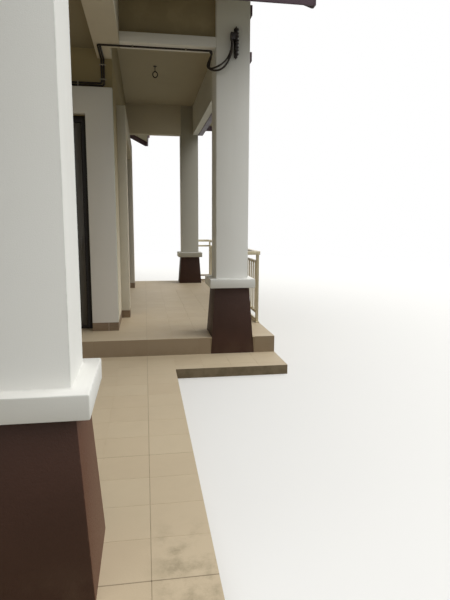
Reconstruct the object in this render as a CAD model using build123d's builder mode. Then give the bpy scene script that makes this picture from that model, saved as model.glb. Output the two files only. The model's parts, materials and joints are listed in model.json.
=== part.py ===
from build123d import *
from math import radians, tan
import os

# End house of a single-storey terrace: car porch in front, raised veranda under a gable on the right,
# plain party wall on the left. Millimetres; x runs along the row, y away from the street, z up.

# Heights
porch_top = 100
floor_top = 291
beam_under = 3492
front_beam_height = 104
porch_ceiling_under = 3596
board = 12
strip_top = 4125
veranda_ceiling_under = 4090

# Plan lines of the house
party_x = -4270
gable_tip_x = 4270
rear_tip_y = 6725
wall = 150
side_wall_x = 2206
front_wall_y = -1668
rear_wall_y = 6225
beam_thick = 219

# Roof: one ridge along the row, one across it, both at the same pitch
pitch = 27
slope = tan(radians(pitch))
eave_top = 3968
roof_thick = 120
main_eave_front_y = -2837
main_ridge_y = 643
main_eave_rear_y = 2 * main_ridge_y - main_eave_front_y
side_eave_x = 2687
cross_ridge_x = (party_x + side_eave_x) / 2
fascia = 25
fascia_bottom = 3750
barge_drop = 260
ridge_tile_width = 230
ridge_tile_rise = 75

# Columns
shaft = 373
cap = 524
cap_bottom = 870
cap_top = 972
base_bottom_width = 512
base_top_width = 405
porch_column_x = 2070
porch_column_y = -5874
porch_overhang = 851
front_tip_y = porch_column_y - porch_overhang
party_column_x = party_x + cap / 2
veranda_column_x = 3537
veranda_front_column_y = -2085
veranda_rear_column_y = 2 * main_ridge_y - veranda_front_column_y

# Floors
slab_right_x = 2837
strip_front_y = -2912
step_front_y = -2337
floor_right_x = 4041
veranda_end_y = 3665

# Porch side beam, flush with the side wall where it runs on over it, and the thin beam under the gable
side_beam_left_x = 2043
side_beam_right_x = 2318
gable_beam_thick = 115

# Sliding door and the plaster surround that stands out from the wall
surround_proud = 115
surround_band = 304
surround_head_share = 0.46
door_left_x = -507
door_right_x = 1893
door_head = 2859
surround_top = door_head + (beam_under - door_head) * surround_head_share
frame_depth = 82
frame_face = 70
sill_rise = 30
leaf_thick = 30
leaf_stile = 75
leaf_gap = 8
clearance = 5
runner_width = 60
runner_gap = 0.3
glass_thick = 6
handle_low = 950
handle_length = 180
handle_proud = 22

# Veranda glazing in the side wall
glazing_front_y = -613
glazing_rear_y = 2407

# Windows
window_sill = 1191
window_head = door_head
window_frame = 60
window_frame_depth = 60
window_set_back = 60
front_window_x = -2300
front_window_width = 1800
side_window_y = 4800
side_window_width = 1200
rear_window_x = -740
rear_window_width = 1800

# Gable ornament
strip_proud = 75
ledge_proud = 100
lower_ledge_under = 3482
lower_ledge_height = 104
upper_ledge_top = 4093
upper_strip_height = 111
post_width = 140
post_depth = 125
post_spacing = 1260
gable_rail_height = 100
gable_rail_depth = 90
gable_rail_rises = (327, 791)
rod_rises = (155, 487, 791)
rod_radius = 9

# Veranda railing
railing_x = 4016
railing_front_y = -1485
railing_rear_y = 3500
railing_post = 50
railing_top = 1246
handrail_width = 60
handrail_height = 46
handrail_end_x = 3600
railing_bar = 18
railing_pitch = 128
railing_rail = 35
railing_sub_rail = 1105
railing_bar_rail = 430
railing_low_rail = 322

# Supply cables: a loose loop from the bracket on the column, then a clipped pair along beam and wall
cable_radius = 10
cable_pitch = 26
cable_bend = 24
cable_above_surround = 30
clipped_y = -2151
clipped_x = 2100
bracket_x = 3562
bracket_z = 3540
clamp_x = 3514
clamp_low_z = 3560
box_width = 90
box_depth = 45
box_right_x = 1000


def main_roof_top(y):
    return eave_top + (main_ridge_y - main_eave_front_y - abs(y - main_ridge_y)) * slope


def cross_roof_top(x):
    return eave_top + (side_eave_x - cross_ridge_x - abs(x - cross_ridge_x)) * slope


def block(x0, x1, y0, y1, z0, z1, mode=Mode.ADD):
    """A box between two corners, in the part being built."""
    with Locations(((x0 + x1) / 2, (y0 + y1) / 2, (z0 + z1) / 2)):
        Box(x1 - x0, y1 - y0, z1 - z0, mode=mode)


def along_x(points, x0, x1, mode=Mode.ADD):
    """An outline in y and z, drawn through from x0 to x1."""
    with BuildSketch(Plane.YZ.offset(x0)) as outline:
        Polygon(*points, align=None)
    extrude(outline.sketch, amount=x1 - x0, mode=mode)


def along_y(points, y0, y1, mode=Mode.ADD):
    """An outline in x and z, drawn through from y0 to y1."""
    with BuildSketch(Plane.XZ.offset(-y1)) as outline:
        Polygon(*points, align=None)
    extrude(outline.sketch, amount=y1 - y0, mode=mode)


def save(builder, name):
    builder.part.label = name
    export_step(builder.part, f"parts/{name}.step")


os.makedirs("parts", exist_ok=True)


# Floors
with BuildPart() as porch_slab:
    block(party_x, slab_right_x, front_tip_y, step_front_y, 0, porch_top)
    block(slab_right_x, floor_right_x, strip_front_y, step_front_y, 0, porch_top)
    half = base_bottom_width / 2
    block(veranda_column_x - half, veranda_column_x + half, step_front_y,
          veranda_front_column_y + half, 0, porch_top)
save(porch_slab, "porch_slab")


def base_width(z):
    """Side of the tapered column base at a height above the ground."""
    share = (z - porch_top) / (cap_bottom - porch_top)
    return base_bottom_width + (base_top_width - base_bottom_width) * share


def tapered_base(x, y, z0, mode=Mode.ADD):
    with BuildSketch(Plane((x, y, z0))) as foot:
        Rectangle(base_width(z0), base_width(z0))
    with BuildSketch(Plane((x, y, cap_bottom))) as head:
        Rectangle(base_top_width, base_top_width)
    loft([foot.sketch.face(), head.sketch.face()], mode=mode)


with BuildPart() as raised_floor:
    block(party_x, side_wall_x, step_front_y, rear_wall_y, 0, floor_top)
    block(side_wall_x, floor_right_x, step_front_y, veranda_end_y, 0, floor_top)
    block(veranda_column_x - half, veranda_column_x + half, step_front_y,
          veranda_front_column_y + half, 0, porch_top, mode=Mode.SUBTRACT)
    tapered_base(veranda_column_x, veranda_front_column_y, porch_top, mode=Mode.SUBTRACT)
    half_at_floor = base_width(floor_top) / 2
    along_y([(veranda_column_x - half, porch_top), (veranda_column_x + half, porch_top),
             (veranda_column_x + half_at_floor, floor_top), (veranda_column_x - half_at_floor, floor_top)],
            step_front_y, veranda_front_column_y, mode=Mode.SUBTRACT)
save(raised_floor, "raised_floor")


# Columns: a tapered brown base, and a shaft on a square cap
def column(name, x, y, z0, z1):
    with BuildPart() as base:
        tapered_base(x, y, z0)
    save(base, name + "_base")
    with BuildPart() as post:
        block(x - cap / 2, x + cap / 2, y - cap / 2, y + cap / 2, cap_bottom, cap_top)
        block(x - shaft / 2, x + shaft / 2, y - shaft / 2, y + shaft / 2, cap_top, z1)
    save(post, name + "_shaft")


column("porch_column_right", porch_column_x, porch_column_y, porch_top, beam_under)
column("porch_column_left", party_column_x, porch_column_y, porch_top, beam_under)
column("veranda_column_front", veranda_column_x, veranda_front_column_y, porch_top, strip_top)
column("veranda_column_rear", veranda_column_x, veranda_rear_column_y, floor_top, strip_top)

# Beams
porch_beam_front_y = porch_column_y - shaft / 2
veranda_beam_front_y = veranda_front_column_y - shaft / 2
veranda_beam_rear_y = veranda_rear_column_y + shaft / 2
veranda_face_x = veranda_column_x + shaft / 2
rear_beam_front_y = veranda_rear_column_y - shaft / 2
side_beam_top = cross_roof_top(side_beam_right_x) - roof_thick
wall_beam_top = veranda_ceiling_under + board

with BuildPart() as porch_side_beam:
    block(side_beam_left_x, side_beam_right_x, porch_beam_front_y, veranda_beam_front_y + beam_thick,
          beam_under, side_beam_top)
    block(side_beam_left_x, side_wall_x, veranda_beam_front_y + beam_thick,
          rear_beam_front_y + beam_thick, beam_under, wall_beam_top)
save(porch_side_beam, "porch_side_beam")

with BuildPart() as veranda_front_beam:
    block(side_beam_right_x, veranda_column_x - shaft / 2, veranda_beam_front_y,
          veranda_beam_front_y + beam_thick, beam_under, beam_under + front_beam_height)
save(veranda_front_beam, "veranda_front_beam")

with BuildPart() as veranda_front_infill:
    block(side_beam_right_x, veranda_column_x - shaft / 2, veranda_beam_front_y + strip_proud,
          veranda_beam_front_y + beam_thick, beam_under + front_beam_height, strip_top)
save(veranda_front_infill, "veranda_front_infill")

with BuildPart() as veranda_rear_beam:
    block(side_wall_x, veranda_column_x - shaft / 2, rear_beam_front_y,
          rear_beam_front_y + beam_thick, beam_under, strip_top)
save(veranda_rear_beam, "veranda_rear_beam")

# Walls
roof_under_at_party = eave_top - roof_thick
with BuildPart() as party_wall:
    along_x([(porch_beam_front_y, beam_under), (front_wall_y, beam_under), (front_wall_y, floor_top),
             (rear_wall_y, floor_top), (rear_wall_y, roof_under_at_party),
             (main_eave_rear_y, roof_under_at_party),
             (main_ridge_y, main_roof_top(main_ridge_y) - roof_thick),
             (main_eave_front_y, roof_under_at_party), (porch_beam_front_y, roof_under_at_party)],
            party_x, party_x + wall)
save(party_wall, "party_wall")

inner_x = party_x + wall
front_inner_y = front_wall_y + wall
porch_beam_top = cross_roof_top(inner_x) - roof_thick
with BuildPart() as front_wall_left:
    block(inner_x, door_left_x, front_wall_y, front_inner_y, floor_top, door_head)
    block(front_window_x - front_window_width / 2, front_window_x + front_window_width / 2,
          front_wall_y, front_inner_y, window_sill, window_head, mode=Mode.SUBTRACT)
save(front_wall_left, "front_wall_left")

with BuildPart() as front_wall_right:
    block(door_right_x, side_wall_x, front_wall_y, front_inner_y, floor_top, door_head)
save(front_wall_right, "front_wall_right")

with BuildPart() as front_wall_head:
    block(inner_x, side_beam_left_x, front_wall_y, front_inner_y, door_head, porch_ceiling_under + board)
    block(side_beam_left_x, side_wall_x, front_wall_y, front_inner_y, door_head, beam_under)
save(front_wall_head, "front_wall_head")

rear_side_top = cross_roof_top(side_wall_x) - roof_thick
with BuildPart() as side_wall:
    along_x([(front_inner_y, floor_top), (rear_wall_y, floor_top), (rear_wall_y, rear_side_top),
             (rear_beam_front_y + beam_thick, rear_side_top),
             (rear_beam_front_y + beam_thick, beam_under), (front_inner_y, beam_under)],
            side_wall_x - wall, side_wall_x)
    block(side_wall_x - wall, side_wall_x, glazing_front_y, glazing_rear_y, floor_top, door_head,
          mode=Mode.SUBTRACT)
    block(side_wall_x - wall, side_wall_x, side_window_y - side_window_width / 2,
          side_window_y + side_window_width / 2, window_sill, window_head, mode=Mode.SUBTRACT)
save(side_wall, "side_wall")

with BuildPart() as rear_wall:
    along_y([(inner_x, floor_top), (side_wall_x - wall, floor_top),
             (side_wall_x - wall, cross_roof_top(side_wall_x - wall) - roof_thick),
             (cross_ridge_x, cross_roof_top(cross_ridge_x) - roof_thick),
             (inner_x, cross_roof_top(inner_x) - roof_thick)],
            rear_wall_y - wall, rear_wall_y)
    block(rear_window_x - rear_window_width / 2, rear_window_x + rear_window_width / 2,
          rear_wall_y - wall, rear_wall_y, window_sill, window_head, mode=Mode.SUBTRACT)
save(rear_wall, "rear_wall")

# Gables: the beam over the columns with the gable wall built up on it
with BuildPart() as veranda_gable:
    block(veranda_face_x - gable_beam_thick, veranda_face_x, veranda_front_column_y + shaft / 2,
          rear_beam_front_y, beam_under, strip_top)
    along_x([(veranda_beam_front_y, strip_top), (veranda_beam_rear_y, strip_top),
             (veranda_beam_rear_y, main_roof_top(veranda_beam_rear_y) - roof_thick),
             (main_ridge_y, main_roof_top(main_ridge_y) - roof_thick),
             (veranda_beam_front_y, main_roof_top(veranda_beam_front_y) - roof_thick)],
            veranda_face_x - wall, veranda_face_x)
save(veranda_gable, "veranda_gable")

with BuildPart() as porch_gable:
    block(inner_x, side_beam_left_x, porch_beam_front_y, porch_beam_front_y + beam_thick,
          beam_under, porch_beam_top)
    along_y([(inner_x, porch_beam_top), (side_beam_left_x, porch_beam_top),
             (side_beam_left_x, cross_roof_top(side_beam_left_x) - roof_thick),
             (cross_ridge_x, cross_roof_top(cross_ridge_x) - roof_thick)],
            porch_beam_front_y, porch_beam_front_y + wall)
save(porch_gable, "porch_gable")

# Plaster surrounds, standing out from the wall round the sliding door and the veranda glazing
with BuildPart() as door_surround:
    block(door_left_x - surround_band, side_wall_x, front_wall_y - surround_proud, front_wall_y,
          floor_top, surround_top)
    block(door_left_x, door_right_x, front_wall_y - surround_proud, front_wall_y,
          floor_top, door_head, mode=Mode.SUBTRACT)
save(door_surround, "door_surround")

with BuildPart() as veranda_surround:
    block(side_wall_x, side_wall_x + surround_proud, glazing_front_y - surround_band,
          glazing_rear_y + surround_band, floor_top, surround_top)
    block(side_wall_x, side_wall_x + surround_proud, glazing_front_y, glazing_rear_y,
          floor_top, door_head, mode=Mode.SUBTRACT)
save(veranda_surround, "veranda_surround")

# Ceilings
with BuildPart() as porch_ceiling:
    block(inner_x, side_beam_left_x, porch_beam_front_y + beam_thick, front_wall_y,
          porch_ceiling_under, porch_ceiling_under + board)
save(porch_ceiling, "porch_ceiling")

with BuildPart() as veranda_ceiling:
    block(side_wall_x, veranda_face_x - gable_beam_thick, veranda_beam_front_y + beam_thick,
          rear_beam_front_y, veranda_ceiling_under, veranda_ceiling_under + board)
    block(veranda_column_x - shaft / 2, veranda_face_x - gable_beam_thick, veranda_beam_front_y + beam_thick,
          veranda_front_column_y + shaft / 2, veranda_ceiling_under, veranda_ceiling_under + board,
          mode=Mode.SUBTRACT)
save(veranda_ceiling, "veranda_ceiling")

roof_front_y = front_tip_y + fascia
roof_rear_y = rear_tip_y - fascia
roof_right_x = gable_tip_x - fascia
side_fascia_x = side_eave_x - fascia
main_front_fascia_y = main_eave_front_y + fascia
main_rear_fascia_y = main_eave_rear_y - fascia

# Roof: two ridged shells that cross; the lower one is cut to the face of the higher
def roof_outline(middle, reach, rise_at_middle, drop):
    """Gable outline in the plane of a roof end, from its eaves up to its ridge."""
    low = rise_at_middle - reach * slope
    return [(middle - reach, low - drop), (middle + reach, low - drop), (middle + reach, low),
            (middle, rise_at_middle), (middle - reach, low)]


main_reach = main_ridge_y - main_front_fascia_y
cross_reach = side_fascia_x - cross_ridge_x
main_ridge_top = main_roof_top(main_ridge_y)
cross_ridge_top = cross_roof_top(cross_ridge_x)

def ridge_outline(middle, top):
    """Angled ridge tile, resting on both slopes."""
    reach = ridge_tile_width / 2
    return [(middle - reach, top - reach * slope - 1), (middle + reach, top - reach * slope - 1),
            (middle + reach * 0.6, top + ridge_tile_rise * 0.7), (middle, top + ridge_tile_rise),
            (middle - reach * 0.6, top + ridge_tile_rise * 0.7)]


def main_shell_space(drop, mode):
    """Everything under the main roof's upper face, lowered by drop."""
    outline = roof_outline(main_ridge_y, main_reach, main_ridge_top - drop, roof_thick - drop)
    along_x(outline[2:] if drop else outline, party_x, roof_right_x, mode=mode)


def cross_shell_space(drop, y0, y1, mode):
    """Everything under the cross roof's upper face between two lines, lowered by drop."""
    outline = roof_outline(cross_ridge_x, cross_reach, cross_ridge_top - drop, roof_thick - drop)
    along_y(outline[2:] if drop else outline, y0, y1, mode=mode)


with BuildPart() as main_roof:
    main_shell_space(0, Mode.ADD)
    main_shell_space(roof_thick, Mode.SUBTRACT)
    cross_shell_space(roof_thick, roof_front_y, roof_rear_y, Mode.SUBTRACT)
    along_x(ridge_outline(main_ridge_y, main_ridge_top), party_x, roof_right_x)
save(main_roof, "main_roof")


def cross_roof(name, y0, y1):
    """The part of the cross roof on one side of the main ridge, cut to the main roof's face."""
    with BuildPart() as shell:
        cross_shell_space(0, y0, y1, Mode.ADD)
        along_y(ridge_outline(cross_ridge_x, cross_ridge_top), y0, y1)
        cross_shell_space(roof_thick, y0, y1, Mode.SUBTRACT)
        main_shell_space(0, Mode.SUBTRACT)
        along_x(ridge_outline(main_ridge_y, main_ridge_top), party_x, roof_right_x, mode=Mode.SUBTRACT)
    save(shell, name)


cross_roof("porch_roof", roof_front_y, main_ridge_y)
cross_roof("rear_roof", main_ridge_y, roof_rear_y)

# Fascias along the eaves and bargeboards up the gables
with BuildPart() as front_fascia:
    block(side_fascia_x, side_eave_x, roof_front_y, main_front_fascia_y, fascia_bottom, eave_top)
    block(side_eave_x, roof_right_x, main_eave_front_y, main_front_fascia_y, fascia_bottom, eave_top)
save(front_fascia, "front_fascia")

with BuildPart() as rear_fascia:
    block(side_fascia_x, side_eave_x, main_rear_fascia_y, roof_rear_y, fascia_bottom, eave_top)
    block(side_eave_x, roof_right_x, main_rear_fascia_y, main_eave_rear_y, fascia_bottom, eave_top)
save(rear_fascia, "rear_fascia")


def barge_outline(middle, reach, top, lowest):
    """Board up both slopes of a gable, cut plumb at its lower ends."""
    low = max(top - reach * slope - barge_drop, lowest)
    level = (top - barge_drop - low) / slope
    return [(middle - reach, top - reach * slope), (middle, top), (middle + reach, top - reach * slope),
            (middle + reach, low), (middle + level, low), (middle, top - barge_drop),
            (middle - level, low), (middle - reach, low)]


with BuildPart() as veranda_bargeboard:
    along_x(barge_outline(main_ridge_y, main_ridge_y - main_eave_front_y, main_ridge_top, fascia_bottom),
            roof_right_x, gable_tip_x)
save(veranda_bargeboard, "veranda_bargeboard")

cross_barge = barge_outline(cross_ridge_x, side_eave_x - cross_ridge_x, cross_ridge_top, fascia_bottom)
with BuildPart() as porch_bargeboard:
    along_y(cross_barge, front_tip_y, roof_front_y)
save(porch_bargeboard, "porch_bargeboard")

with BuildPart() as rear_bargeboard:
    along_y(cross_barge, roof_rear_y, rear_tip_y)
save(rear_bargeboard, "rear_bargeboard")

# Gable ornament of the veranda: ledges, two posts, two rails and thin rods out to the roof
with BuildPart() as veranda_lower_strip:
    block(veranda_face_x, veranda_face_x + ledge_proud, veranda_front_column_y + shaft / 2,
          rear_beam_front_y, lower_ledge_under, lower_ledge_under + lower_ledge_height)
save(veranda_lower_strip, "veranda_lower_strip")

post_top = main_roof_top(main_ridge_y + (post_spacing + post_width) / 2) - roof_thick
with BuildPart() as veranda_gable_frame:
    block(veranda_face_x, veranda_face_x + ledge_proud, veranda_front_column_y + shaft / 2,
          rear_beam_front_y, upper_ledge_top - upper_strip_height, upper_ledge_top)
    for side in (-1, 1):
        middle = main_ridge_y + side * post_spacing / 2
        block(veranda_face_x, veranda_face_x + post_depth, middle - post_width / 2,
              middle + post_width / 2, upper_ledge_top - upper_strip_height, post_top)
    for rise in gable_rail_rises:
        middle = upper_ledge_top + rise
        block(veranda_face_x, veranda_face_x + gable_rail_depth, main_ridge_y - post_spacing / 2,
              main_ridge_y + post_spacing / 2, middle - gable_rail_height / 2,
              middle + gable_rail_height / 2)
    for rise in rod_rises:
        z = upper_ledge_top + rise
        reach = (main_ridge_top - roof_thick - z - rod_radius) / slope - 1
        with Locations(Location((veranda_face_x + strip_proud / 2, main_ridge_y, z), (90, 0, 0))):
            Cylinder(rod_radius, 2 * reach)
save(veranda_gable_frame, "veranda_gable_frame")

porch_post_top = cross_roof_top(cross_ridge_x + (post_spacing + post_width) / 2) - roof_thick
with BuildPart() as porch_gable_frame:
    block(inner_x, side_beam_left_x, porch_beam_front_y - strip_proud, porch_beam_front_y,
          porch_beam_top - upper_strip_height, porch_beam_top)
    for side in (-1, 1):
        middle = cross_ridge_x + side * post_spacing / 2
        block(middle - post_width / 2, middle + post_width / 2, porch_beam_front_y - post_depth,
              porch_beam_front_y, porch_beam_top - upper_strip_height, porch_post_top)
    for rise in gable_rail_rises:
        middle = porch_beam_top + rise
        block(cross_ridge_x - post_spacing / 2, cross_ridge_x + post_spacing / 2,
              porch_beam_front_y - gable_rail_depth, porch_beam_front_y,
              middle - gable_rail_height / 2, middle + gable_rail_height / 2)
    for rise in rod_rises:
        z = porch_beam_top + rise
        reach = (cross_ridge_top - roof_thick - z - rod_radius) / slope - 1
        with Locations(Location((cross_ridge_x, porch_beam_front_y - strip_proud / 2, z), (0, 90, 0))):
            Cylinder(rod_radius, 2 * reach)
save(porch_gable_frame, "porch_gable_frame")


# Windows: a dark frame of upright lights in the opening, with one sheet of glass against its back
def lights_frame(width, height, face, bars):
    """Frame with upright bars, its lower middle at the sketch's origin."""
    gap = (width - face * (bars + 2)) / (bars + 1)
    with BuildSketch() as outline:
        with Locations((0, height / 2)):
            Rectangle(width, height)
        for i in range(bars + 1):
            with Locations((-width / 2 + face + gap / 2 + i * (gap + face), height / 2)):
                Rectangle(gap, height - 2 * face, mode=Mode.SUBTRACT)
    return outline.sketch


def window(name, plane, width, height, face, bars):
    """Frame and glass of one opening; the plane lies in the wall's outer face and looks outward."""
    frame_plane = plane.offset(-window_set_back - window_frame_depth)
    with BuildPart() as frame:
        extrude(frame_plane * lights_frame(width, height, face, bars), amount=window_frame_depth)
    save(frame, name + "_frame")
    with BuildPart() as pane:
        with BuildSketch(frame_plane) as sheet:
            with Locations((0, height / 2)):
                Rectangle(width, height)
        extrude(sheet.sketch, amount=-glass_thick)
    save(pane, name + "_glass")


window_height = window_head - window_sill
window("front_window",
       Plane((front_window_x, front_wall_y, window_sill), x_dir=(1, 0, 0), z_dir=(0, -1, 0)),
       front_window_width, window_height, window_frame, 2)
window("side_window",
       Plane((side_wall_x, side_window_y, window_sill), x_dir=(0, 1, 0), z_dir=(1, 0, 0)),
       side_window_width, window_height, window_frame, 1)
window("rear_window",
       Plane((rear_window_x, rear_wall_y, window_sill), x_dir=(-1, 0, 0), z_dir=(0, 1, 0)),
       rear_window_width, window_height, window_frame, 2)
window("veranda_glazing",
       Plane((side_wall_x, (glazing_front_y + glazing_rear_y) / 2, floor_top),
             x_dir=(0, 1, 0), z_dir=(1, 0, 0)),
       glazing_rear_y - glazing_front_y, door_head - floor_top, frame_face, 3)

# Sliding door: frame in the inner part of the opening, fixed leaf behind, sliding leaf in front
frame_back_y = front_inner_y
frame_front_y = frame_back_y - frame_depth
with BuildPart() as door_frame:
    block(door_left_x, door_right_x, frame_front_y, frame_back_y, floor_top, door_head)
    block(door_left_x + frame_face, door_right_x - frame_face, frame_front_y, frame_back_y,
          floor_top + sill_rise, door_head - frame_face, mode=Mode.SUBTRACT)
save(door_frame, "door_frame")

clear_left = door_left_x + frame_face
clear_right = door_right_x - frame_face
clear_bottom = floor_top + sill_rise
clear_top = door_head - frame_face
meeting_x = (clear_left + clear_right) / 2
leaf_edge = leaf_stile / 2
track_margin = (frame_depth - 2 * leaf_thick - leaf_gap) / 2
slide_y = frame_front_y + track_margin
fixed_y = slide_y + leaf_thick + leaf_gap


def leaf(name, x0, x1, y0, z0, z1, runners, handle):
    with BuildPart() as rim:
        block(x0, x1, y0, y0 + leaf_thick, z0, z1)
        block(x0 + leaf_stile, x1 - leaf_stile, y0, y0 + leaf_thick, z0 + leaf_stile, z1 - leaf_stile,
              mode=Mode.SUBTRACT)
        if runners:
            for x in (x0 + 2 * leaf_stile, x1 - 2 * leaf_stile):
                block(x - runner_width / 2, x + runner_width / 2, y0 + leaf_thick / 4,
                      y0 + leaf_thick * 3 / 4, clear_bottom + runner_gap, z0 + leaf_stile / 2)
        if handle:
            block(x1 - leaf_stile * 0.65, x1 - leaf_stile * 0.35, y0 - handle_proud, y0,
                  floor_top + handle_low, floor_top + handle_low + handle_length)
    save(rim, name + "_frame")
    with BuildPart() as pane:
        block(x0 + leaf_stile, x1 - leaf_stile, y0 + leaf_thick / 2 - glass_thick / 2,
              y0 + leaf_thick / 2 + glass_thick / 2, z0 + leaf_stile, z1 - leaf_stile)
    save(pane, name + "_glass")


leaf("fixed_leaf", clear_left, meeting_x + leaf_edge, fixed_y, clear_bottom, clear_top, False, False)
leaf("sliding_leaf", meeting_x - leaf_edge, clear_right - clearance, slide_y, clear_bottom + clearance,
     clear_top - clearance, True, True)

# Veranda railing: three posts, a broad handrail, three thin rails and square bars between two of
# them. Behind, it turns to the rear column; in front only the handrail turns back to the column.
with BuildPart() as veranda_railing:
    half_post = railing_post / 2
    half_rail = railing_rail / 2
    half_hand = handrail_width / 2
    handrail_under = railing_top - handrail_height
    for y in (railing_front_y, (railing_front_y + railing_rear_y) / 2, railing_rear_y):
        block(railing_x - half_post, railing_x + half_post, y - half_post, y + half_post,
              floor_top, railing_top)
    for z in (railing_low_rail, railing_bar_rail, railing_sub_rail):
        block(railing_x - half_rail, railing_x + half_rail, railing_front_y, railing_rear_y,
              z - half_rail, z + half_rail)
        column_face = base_width(z) / 2 if z < cap_bottom else shaft / 2
        block(veranda_column_x + column_face + 2, railing_x, railing_rear_y - half_rail,
              railing_rear_y + half_rail, z - half_rail, z + half_rail)
    block(railing_x - half_hand, railing_x + half_hand, railing_front_y - half_hand,
          railing_rear_y + half_hand, handrail_under, railing_top)
    block(veranda_column_x + shaft / 2 + 2, railing_x, railing_rear_y - half_hand,
          railing_rear_y + half_hand, handrail_under, railing_top)
    block(handrail_end_x - half_hand, railing_x, railing_front_y - half_hand,
          railing_front_y + half_hand, handrail_under, railing_top)
    block(handrail_end_x - half_hand, handrail_end_x + half_hand,
          veranda_front_column_y + shaft / 2 + 2, railing_front_y, handrail_under, railing_top)
    count = round((railing_rear_y - railing_front_y) / railing_pitch)
    for i in range(1, count):
        y = railing_front_y + (railing_rear_y - railing_front_y) * i / count
        block(railing_x - railing_bar / 2, railing_x + railing_bar / 2, y - railing_bar / 2,
              y + railing_bar / 2, railing_bar_rail, railing_sub_rail)
save(veranda_railing, "veranda_railing")

# Clipped pair of black cables: along the beam undersides, back to the wall, down it, along the surround
clipped_z = beam_under - cable_radius
clipped_wall_y = front_wall_y - cable_radius
loop_end_z = clipped_z - 2 * cable_radius - 20
front_entry = (3310, clipped_y - cable_pitch / 2, loop_end_z)
rear_entry = (3310, clipped_y + cable_pitch / 2, loop_end_z)
front_approach = (3284, clipped_y - cable_pitch / 2, 3383)
rear_approach = (3293, clipped_y + cable_pitch / 2, 3363)


def cable(name, points, radii):
    """Round cable along straight runs joined by arcs."""
    with BuildPart() as tube:
        with BuildLine():
            FilletPolyline(*points, radius=radii)
        with BuildSketch(Plane(points[0], z_dir=Vector(*points[1]) - Vector(*points[0]))):
            Circle(cable_radius)
        sweep()
    save(tube, name)


def clipped_cable(name, approach, entry, side):
    """One of the pair; side is -1 for the front and outer one, 1 for the other."""
    x = clipped_x + side * cable_pitch / 2
    low_z = surround_top + cable_above_surround + cable_radius + (cable_pitch if side < 0 else 0)
    rise = (clipped_z - entry[2]) / (entry[2] - approach[2])
    corner_x = entry[0] + (entry[0] - approach[0]) * rise
    cable(name, [entry, (corner_x, entry[1], clipped_z), (x, entry[1], clipped_z),
                 (x, clipped_wall_y, clipped_z), (x, clipped_wall_y, low_z),
                 (box_right_x, clipped_wall_y, low_z)], cable_bend)


clipped_cable("conduit", front_approach, front_entry, -1)
clipped_cable("conduit_rear", rear_approach, rear_entry, 1)

# Loose loop under the bracket: both cables fall in front of the column and turn up behind its edge
clamp_y = veranda_front_column_y - shaft / 2
front_loop = [(clamp_x, clamp_y - 60, clamp_low_z), (clamp_x, clamp_y - 60, 3470),
              (3495, clamp_y - 58, 3384), (3455, clamp_y - 60, 3304), (3397, clamp_y - 55, 3250),
              (3326, clamp_y - 30, 3239), (3271, clamp_y + 11, 3268), (3255, clamp_y + 65, 3317),
              front_approach, front_entry]
rear_loop = [(clamp_x, clamp_y - 34, clamp_low_z), (clamp_x, clamp_y - 34, 3485),
             (3490, clamp_y - 33, 3414), (3455, clamp_y - 53, 3354), (3405, clamp_y - 65, 3304),
             (3343, clamp_y - 41, 3275), (3296, clamp_y + 14, 3273), (3279, clamp_y + 84, 3301),
             rear_approach, rear_entry]


def loop_radii(name, points):
    """Arc at each corner, as large as its two runs allow."""
    radii = []
    for before, corner, after in zip(points, points[1:], points[2:]):
        first = Vector(*corner) - Vector(*before)
        second = Vector(*after) - Vector(*corner)
        turn = radians(first.get_angle(second))
        radii.append(0.45 * min(first.length, second.length) / tan(turn / 2))
    print(name, "arc radii", [round(radius) for radius in radii])
    return radii


for name, points in (("drip_cable_front", front_loop), ("drip_cable_rear", rear_loop)):
    cable(name, points, loop_radii(name, points))

# Dead-end bracket for the supply cables, on the front face of the veranda column
with BuildPart() as cable_bracket:
    block(bracket_x - 20, bracket_x + 20, clamp_y - 8, clamp_y, bracket_z - 150, bracket_z + 150)
    block(bracket_x - 15, bracket_x + 15, clamp_y - 70, clamp_y - 8, bracket_z + 50, bracket_z + 90)
    block(bracket_x - 15, bracket_x + 15, clamp_y - 60, clamp_y - 8, bracket_z - 90, bracket_z - 50)
    block(clamp_x - 16, bracket_x - 15, clamp_y - 76, clamp_y - 18, clamp_low_z, bracket_z + 90)
save(cable_bracket, "cable_bracket")

# Junction box where the pair ends, above the door's surround
with BuildPart() as junction_box:
    block(box_right_x - box_width, box_right_x, front_wall_y - box_depth, front_wall_y,
          surround_top, surround_top + box_width)
    fillet(junction_box.edges().filter_by(Axis.Y), radius=8)
save(junction_box, "junction_box")
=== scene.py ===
# %% [markdown]
# # The end house of a terrace, seen from its side yard
# The solids come as a fixed frame: walls, columns, beams, floors, roof shells, doors and windows, all in
# metres, x along the row, y away from the street, z up. Blender adds what the eye looks for on them: soft
# plaster edges, laid tiles on floor and roof, skirting, window bands, cables, and every surface finish.
# The size of the frame is measured before anything is added.

# %% Load the frame
import json
from math import cos, pi, radians, sin, tan

import bpy
from mathutils import Matrix, Vector

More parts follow.
